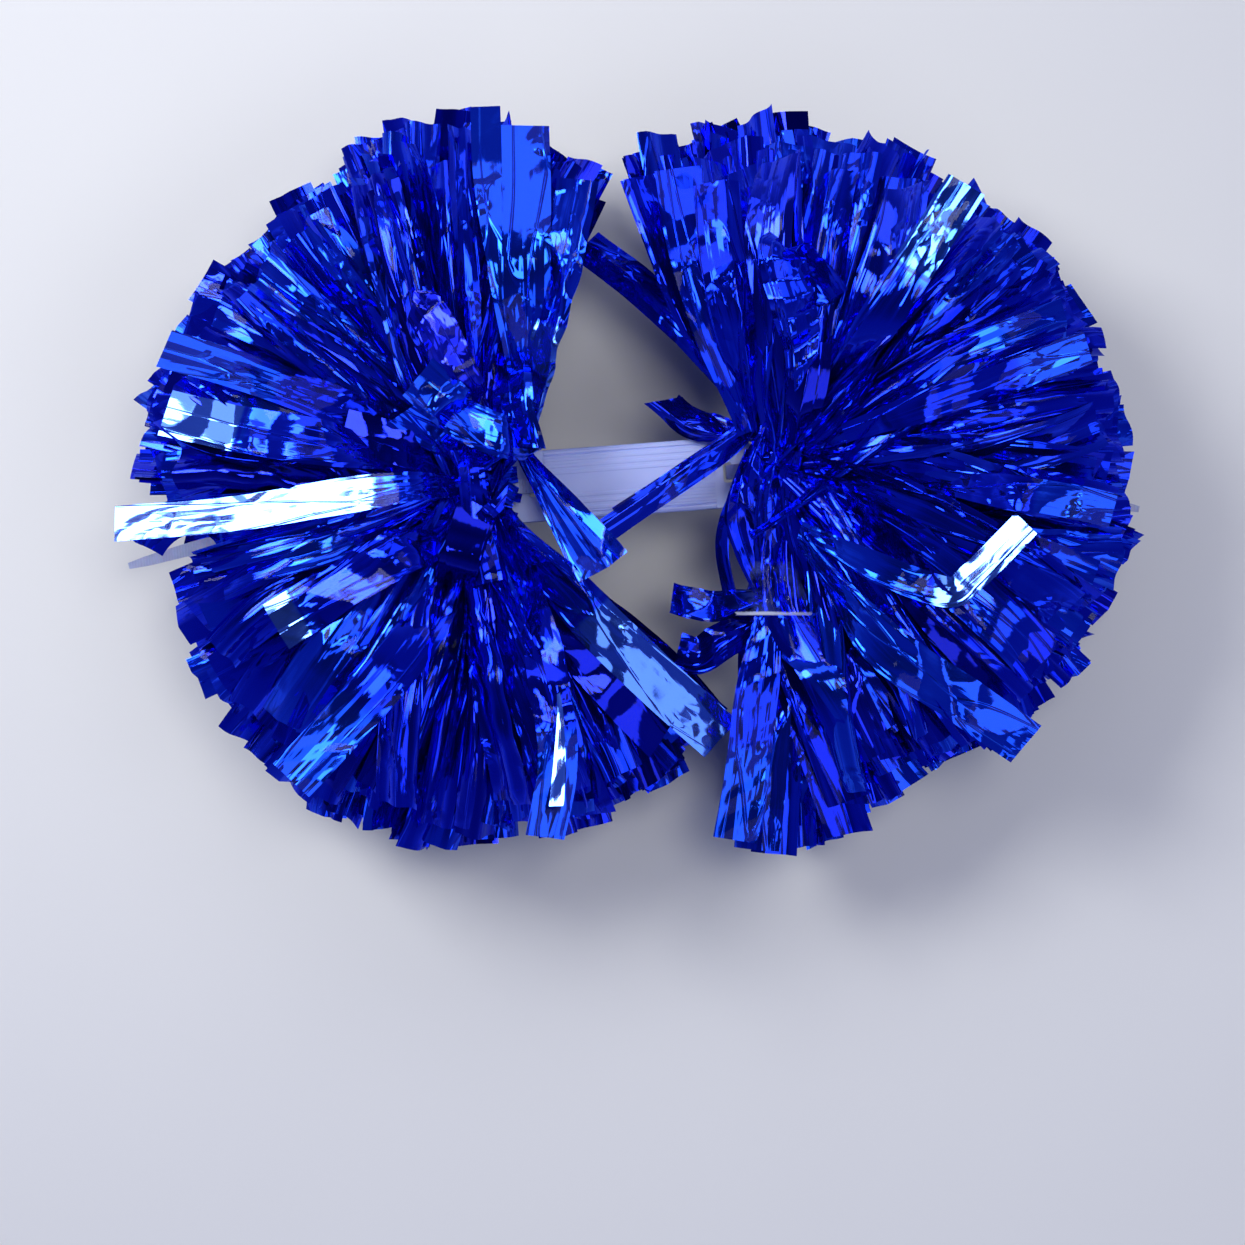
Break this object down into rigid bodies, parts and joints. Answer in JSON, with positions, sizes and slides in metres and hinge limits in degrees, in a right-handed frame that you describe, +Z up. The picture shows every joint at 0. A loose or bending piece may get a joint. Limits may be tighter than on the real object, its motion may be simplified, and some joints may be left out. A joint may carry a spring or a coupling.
{
  "type": "cheer pom pom",
  "caption": "Cheer pom pom: a flat slotted handle with a bushy head of metallic film streamers strapped to each end, lying at rest.",
  "frame": {"origin": "on the table, straight under the middle of the handle", "axes": "+X along the handle towards the right head, +Y across it, +Z up off the table"},
  "size_m": [0.3505, 0.2556, 0.1004],
  "materials": {
    "film_blue": "metallised film, high gloss",
    "handle_white": "satin extruded plastic",
    "tie_natural": "translucent natural nylon",
    "tape_clear": "clear film tape"
  },
  "bodies": {
    "handle": {"handle": "handle_white"},
    "left_head": {"left_cable_tie": "tie_natural", "left_crossing_streamer": "film_blue", "left_gathered_band": "film_blue", "left_lower_streamers_1": "film_blue", "left_lower_streamers_2": "film_blue", "left_lower_streamers_3": "film_blue", "left_lower_streamers_4": "film_blue", "left_lower_streamers_5": "film_blue", "left_lower_streamers_6": "film_blue", "left_lower_streamers_7": "film_blue", "left_lower_streamers_8": "film_blue", "left_lower_streamers_9": "film_blue"},
    "left_upper_streamers_1": {"left_upper_streamers_1": "film_blue"},
    "left_upper_streamers_2": {"left_upper_streamers_2": "film_blue"},
    "left_upper_streamers_3": {"left_upper_streamers_3": "film_blue"},
    "left_upper_streamers_4": {"left_upper_streamers_4": "film_blue"},
    "left_upper_streamers_5": {"left_upper_streamers_5": "film_blue"},
    "left_upper_streamers_6": {"left_upper_streamers_6": "film_blue"},
    "left_upper_streamers_7": {"left_upper_streamers_7": "film_blue"},
    "left_upper_streamers_8": {"left_upper_streamers_8": "film_blue"},
    "left_middle_streamers_1": {"left_middle_streamers_1": "film_blue"},
    "left_middle_streamers_2": {"left_middle_streamers_2": "film_blue"},
    "left_middle_streamers_3": {"left_middle_streamers_3": "film_blue"},
    "left_middle_streamers_4": {"left_middle_streamers_4": "film_blue"},
    "left_middle_streamers_5": {"left_middle_streamers_5": "film_blue"},
    "left_middle_streamers_6": {"left_middle_streamers_6": "film_blue"},
    "left_middle_streamers_7": {"left_middle_streamers_7": "film_blue"},
    "left_middle_streamers_8": {"left_middle_streamers_8": "film_blue"},
    "left_middle_streamers_9": {"left_middle_streamers_9": "film_blue"},
    "right_head": {"right_cable_tie": "tie_natural", "right_crossing_streamer": "film_blue", "right_gathered_band": "film_blue", "right_lower_streamers_1": "film_blue", "right_lower_streamers_2": "film_blue", "right_lower_streamers_3": "film_blue", "right_lower_streamers_4": "film_blue", "right_lower_streamers_5": "film_blue", "right_lower_streamers_6": "film_blue", "right_lower_streamers_7": "film_blue", "right_lower_streamers_8": "film_blue", "right_stray_streamer": "film_blue"},
    "right_upper_streamers_1": {"right_upper_streamers_1": "film_blue"},
    "right_upper_streamers_2": {"right_upper_streamers_2": "film_blue"},
    "right_upper_streamers_3": {"right_upper_streamers_3": "film_blue"},
    "right_upper_streamers_4": {"right_upper_streamers_4": "film_blue"},
    "right_upper_streamers_5": {"right_upper_streamers_5": "film_blue"},
    "right_upper_streamers_6": {"right_upper_streamers_6": "film_blue"},
    "right_upper_streamers_7": {"right_upper_streamers_7": "film_blue"},
    "right_middle_streamers_1": {"right_middle_streamers_1": "film_blue", "right_clear_tape": "tape_clear"},
    "right_middle_streamers_2": {"right_middle_streamers_2": "film_blue"},
    "right_middle_streamers_3": {"right_middle_streamers_3": "film_blue"},
    "right_middle_streamers_4": {"right_middle_streamers_4": "film_blue"},
    "right_middle_streamers_5": {"right_middle_streamers_5": "film_blue"},
    "right_middle_streamers_6": {"right_middle_streamers_6": "film_blue"},
    "right_middle_streamers_7": {"right_middle_streamers_7": "film_blue"},
    "right_middle_streamers_8": {"right_middle_streamers_8": "film_blue"}
  },
  "joints": [
    {"name": "left_head_rock", "type": "hinge", "parent": "handle", "child": "left_head", "pos_m": [-0.033, 0, 0.046], "axis": [0, 1, 0], "range_deg": [-8, 8], "stiffness_Nm_per_rad": 0.5},
    {"name": "left_fluff", "type": "hinge", "parent": "left_head", "child": "left_upper_streamers_1", "pos_m": [-0.04897, 0.02426, 0.0536], "axis": [0.9923, -0.124, 0], "range_deg": [0, 18], "stiffness_Nm_per_rad": 0.05},
    {"name": "left_upper_flex_2", "type": "hinge", "parent": "left_head", "child": "left_upper_streamers_2", "pos_m": [-0.06125, 0.02219, 0.0536], "axis": [0.923, 0.3847, 0], "range_deg": [0, 18], "stiffness_Nm_per_rad": 0.05},
    {"name": "left_upper_flex_3", "type": "hinge", "parent": "left_head", "child": "left_upper_streamers_3", "pos_m": [-0.06944, 0.01344, 0.0536], "axis": [0.6105, 0.792, 0], "range_deg": [0, 18], "stiffness_Nm_per_rad": 0.05},
    {"name": "left_upper_flex_4", "type": "hinge", "parent": "left_head", "child": "left_upper_streamers_4", "pos_m": [-0.06994, 0.00248, 0.0536], "axis": [0.137, 0.9906, 0], "range_deg": [0, 18], "stiffness_Nm_per_rad": 0.05},
    {"name": "left_upper_flex_5", "type": "hinge", "parent": "left_head", "child": "left_upper_streamers_5", "pos_m": [-0.0708, -0.00755, 0.0536], "axis": [-0.3726, 0.928, 0], "range_deg": [0, 18], "stiffness_Nm_per_rad": 0.05},
    {"name": "left_upper_flex_6", "type": "hinge", "parent": "left_head", "child": "left_upper_streamers_6", "pos_m": [-0.06638, -0.01816, 0.0536], "axis": [-0.784, 0.6208, 0], "range_deg": [0, 18], "stiffness_Nm_per_rad": 0.05},
    {"name": "left_upper_flex_7", "type": "hinge", "parent": "left_head", "child": "left_upper_streamers_7", "pos_m": [-0.05566, -0.02416, 0.0536], "axis": [-0.9887, 0.15, 0], "range_deg": [0, 18], "stiffness_Nm_per_rad": 0.05},
    {"name": "left_upper_flex_8", "type": "hinge", "parent": "left_head", "child": "left_upper_streamers_8", "pos_m": [-0.04332, -0.02248, 0.0536], "axis": [-0.9328, -0.3604, 0], "range_deg": [0, 18], "stiffness_Nm_per_rad": 0.05},
    {"name": "left_middle_flex_1", "type": "hinge", "parent": "left_head", "child": "left_middle_streamers_1", "pos_m": [-0.0476, 0.024, 0.0446], "axis": [0.9836, -0.1803, 0], "range_deg": [0, 9], "stiffness_Nm_per_rad": 0.05},
    {"name": "left_middle_flex_2", "type": "hinge", "parent": "left_head", "child": "left_middle_streamers_2", "pos_m": [-0.05902, 0.0232, 0.0446], "axis": [0.9572, 0.2896, 0], "range_deg": [0, 9], "stiffness_Nm_per_rad": 0.05},
    {"name": "left_middle_flex_3", "type": "hinge", "parent": "left_head", "child": "left_middle_streamers_3", "pos_m": [-0.06782, 0.01635, 0.0446], "axis": [0.7187, 0.6954, 0], "range_deg": [0, 9], "stiffness_Nm_per_rad": 0.05},
    {"name": "left_middle_flex_4", "type": "hinge", "parent": "left_head", "child": "left_middle_streamers_4", "pos_m": [-0.07079, 0.00637, 0.0446], "axis": [0.321, 0.9471, 0], "range_deg": [0, 9], "stiffness_Nm_per_rad": 0.05},
    {"name": "left_middle_flex_5", "type": "hinge", "parent": "left_head", "child": "left_middle_streamers_5", "pos_m": [-0.07003, -0.00269, 0.0446], "axis": [-0.1478, 0.989, 0], "range_deg": [0, 9], "stiffness_Nm_per_rad": 0.05},
    {"name": "left_middle_flex_6", "type": "hinge", "parent": "left_head", "child": "left_middle_streamers_6", "pos_m": [-0.06972, -0.01275, 0.0446], "axis": [-0.5839, 0.8119, 0], "range_deg": [0, 9], "stiffness_Nm_per_rad": 0.05},
    {"name": "left_middle_flex_7", "type": "hinge", "parent": "left_head", "child": "left_middle_streamers_7", "pos_m": [-0.06284, -0.02123, 0.0446], "axis": [-0.8906, 0.4549, 0], "range_deg": [0, 9], "stiffness_Nm_per_rad": 0.05},
    {"name": "left_middle_flex_8", "type": "hinge", "parent": "left_head", "child": "left_middle_streamers_8", "pos_m": [-0.05193, -0.0245, 0.0446], "axis": [-1, -0.0029, 0], "range_deg": [0, 9], "stiffness_Nm_per_rad": 0.05},
    {"name": "left_middle_flex_9", "type": "hinge", "parent": "left_head", "child": "left_middle_streamers_9", "pos_m": [-0.04104, -0.02115, 0.0446], "axis": [-0.8879, -0.46, 0], "range_deg": [0, 9], "stiffness_Nm_per_rad": 0.05},
    {"name": "right_head_rock", "type": "hinge", "parent": "handle", "child": "right_head", "pos_m": [0.033, 0, 0.046], "axis": [0, 1, 0], "range_deg": [-8, 8], "stiffness_Nm_per_rad": 0.5},
    {"name": "right_fluff", "type": "hinge", "parent": "right_head", "child": "right_upper_streamers_1", "pos_m": [0.06091, -0.02236, 0.0536], "axis": [-0.929, -0.37, 0], "range_deg": [0, 18], "stiffness_Nm_per_rad": 0.05},
    {"name": "right_upper_flex_2", "type": "hinge", "parent": "right_head", "child": "right_upper_streamers_2", "pos_m": [0.06888, -0.0146, 0.0536], "axis": [-0.6542, -0.7563, 0], "range_deg": [0, 18], "stiffness_Nm_per_rad": 0.05},
    {"name": "right_upper_flex_3", "type": "hinge", "parent": "right_head", "child": "right_upper_streamers_3", "pos_m": [0.07054, -0.00443, 0.0536], "axis": [-0.2322, -0.9727, 0], "range_deg": [0, 18], "stiffness_Nm_per_rad": 0.05},
    {"name": "right_upper_flex_4", "type": "hinge", "parent": "right_head", "child": "right_upper_streamers_4", "pos_m": [0.07058, 0.00463, 0.0536], "axis": [0.2419, -0.9703, 0], "range_deg": [0, 18], "stiffness_Nm_per_rad": 0.05},
    {"name": "right_upper_flex_5", "type": "hinge", "parent": "right_head", "child": "right_upper_streamers_5", "pos_m": [0.06877, 0.0148, 0.0536], "axis": [0.6617, -0.7498, 0], "range_deg": [0, 18], "stiffness_Nm_per_rad": 0.05},
    {"name": "right_upper_flex_6", "type": "hinge", "parent": "right_head", "child": "right_upper_streamers_6", "pos_m": [0.06069, 0.02247, 0.0536], "axis": [0.9327, -0.3607, 0], "range_deg": [0, 18], "stiffness_Nm_per_rad": 0.05},
    {"name": "right_upper_flex_7", "type": "hinge", "parent": "right_head", "child": "right_upper_streamers_7", "pos_m": [0.04932, 0.02432, 0.0536], "axis": [0.994, 0.1095, 0], "range_deg": [0, 18], "stiffness_Nm_per_rad": 0.05},
    {"name": "right_middle_flex_1", "type": "hinge", "parent": "right_head", "child": "right_middle_streamers_1", "pos_m": [0.05379, -0.02442, 0.0446], "axis": [-0.9973, -0.073, 0], "range_deg": [0, 9], "stiffness_Nm_per_rad": 0.05},
    {"name": "right_middle_flex_2", "type": "hinge", "parent": "right_head", "child": "right_middle_streamers_2", "pos_m": [0.06403, -0.02037, 0.0446], "axis": [-0.8611, -0.5085, 0], "range_deg": [0, 9], "stiffness_Nm_per_rad": 0.05},
    {"name": "right_middle_flex_3", "type": "hinge", "parent": "right_head", "child": "right_middle_streamers_3", "pos_m": [0.07007, -0.01176, 0.0446], "axis": [-0.5456, -0.8381, 0], "range_deg": [0, 9], "stiffness_Nm_per_rad": 0.05},
    {"name": "right_middle_flex_4", "type": "hinge", "parent": "right_head", "child": "right_middle_streamers_4", "pos_m": [0.06976, -0.00208, 0.0446], "axis": [-0.1165, -0.9932, 0], "range_deg": [0, 9], "stiffness_Nm_per_rad": 0.05},
    {"name": "right_middle_flex_5", "type": "hinge", "parent": "right_head", "child": "right_middle_streamers_5", "pos_m": [0.0708, 0.00673, 0.0446], "axis": [0.3369, -0.9415, 0], "range_deg": [0, 9], "stiffness_Nm_per_rad": 0.05},
    {"name": "right_middle_flex_6", "type": "hinge", "parent": "right_head", "child": "right_middle_streamers_6", "pos_m": [0.06779, 0.01639, 0.0446], "axis": [0.7201, -0.6939, 0], "range_deg": [0, 9], "stiffness_Nm_per_rad": 0.05},
    {"name": "right_middle_flex_7", "type": "hinge", "parent": "right_head", "child": "right_middle_streamers_7", "pos_m": [0.05931, 0.02309, 0.0446], "axis": [0.9534, -0.3017, 0], "range_deg": [0, 9], "stiffness_Nm_per_rad": 0.05},
    {"name": "right_middle_flex_8", "type": "hinge", "parent": "right_head", "child": "right_middle_streamers_8", "pos_m": [0.04826, 0.02414, 0.0446], "axis": [0.9882, 0.1532, 0], "range_deg": [0, 9], "stiffness_Nm_per_rad": 0.05}
  ],
  "couplings": [
    {"joint": "left_upper_flex_2", "follows": "left_fluff", "ratio": 1},
    {"joint": "left_upper_flex_3", "follows": "left_fluff", "ratio": 1},
    {"joint": "left_upper_flex_4", "follows": "left_fluff", "ratio": 1},
    {"joint": "left_upper_flex_5", "follows": "left_fluff", "ratio": 1},
    {"joint": "left_upper_flex_6", "follows": "left_fluff", "ratio": 1},
    {"joint": "left_upper_flex_7", "follows": "left_fluff", "ratio": 1},
    {"joint": "left_upper_flex_8", "follows": "left_fluff", "ratio": 1},
    {"joint": "left_middle_flex_1", "follows": "left_fluff", "ratio": 0.5},
    {"joint": "left_middle_flex_2", "follows": "left_fluff", "ratio": 0.5},
    {"joint": "left_middle_flex_3", "follows": "left_fluff", "ratio": 0.5},
    {"joint": "left_middle_flex_4", "follows": "left_fluff", "ratio": 0.5},
    {"joint": "left_middle_flex_5", "follows": "left_fluff", "ratio": 0.5},
    {"joint": "left_middle_flex_6", "follows": "left_fluff", "ratio": 0.5},
    {"joint": "left_middle_flex_7", "follows": "left_fluff", "ratio": 0.5},
    {"joint": "left_middle_flex_8", "follows": "left_fluff", "ratio": 0.5},
    {"joint": "left_middle_flex_9", "follows": "left_fluff", "ratio": 0.5},
    {"joint": "right_upper_flex_2", "follows": "right_fluff", "ratio": 1},
    {"joint": "right_upper_flex_3", "follows": "right_fluff", "ratio": 1},
    {"joint": "right_upper_flex_4", "follows": "right_fluff", "ratio": 1},
    {"joint": "right_upper_flex_5", "follows": "right_fluff", "ratio": 1},
    {"joint": "right_upper_flex_6", "follows": "right_fluff", "ratio": 1},
    {"joint": "right_upper_flex_7", "follows": "right_fluff", "ratio": 1},
    {"joint": "right_middle_flex_1", "follows": "right_fluff", "ratio": 0.5},
    {"joint": "right_middle_flex_2", "follows": "right_fluff", "ratio": 0.5},
    {"joint": "right_middle_flex_3", "follows": "right_fluff", "ratio": 0.5},
    {"joint": "right_middle_flex_4", "follows": "right_fluff", "ratio": 0.5},
    {"joint": "right_middle_flex_5", "follows": "right_fluff", "ratio": 0.5},
    {"joint": "right_middle_flex_6", "follows": "right_fluff", "ratio": 0.5},
    {"joint": "right_middle_flex_7", "follows": "right_fluff", "ratio": 0.5},
    {"joint": "right_middle_flex_8", "follows": "right_fluff", "ratio": 0.5}
  ]
}
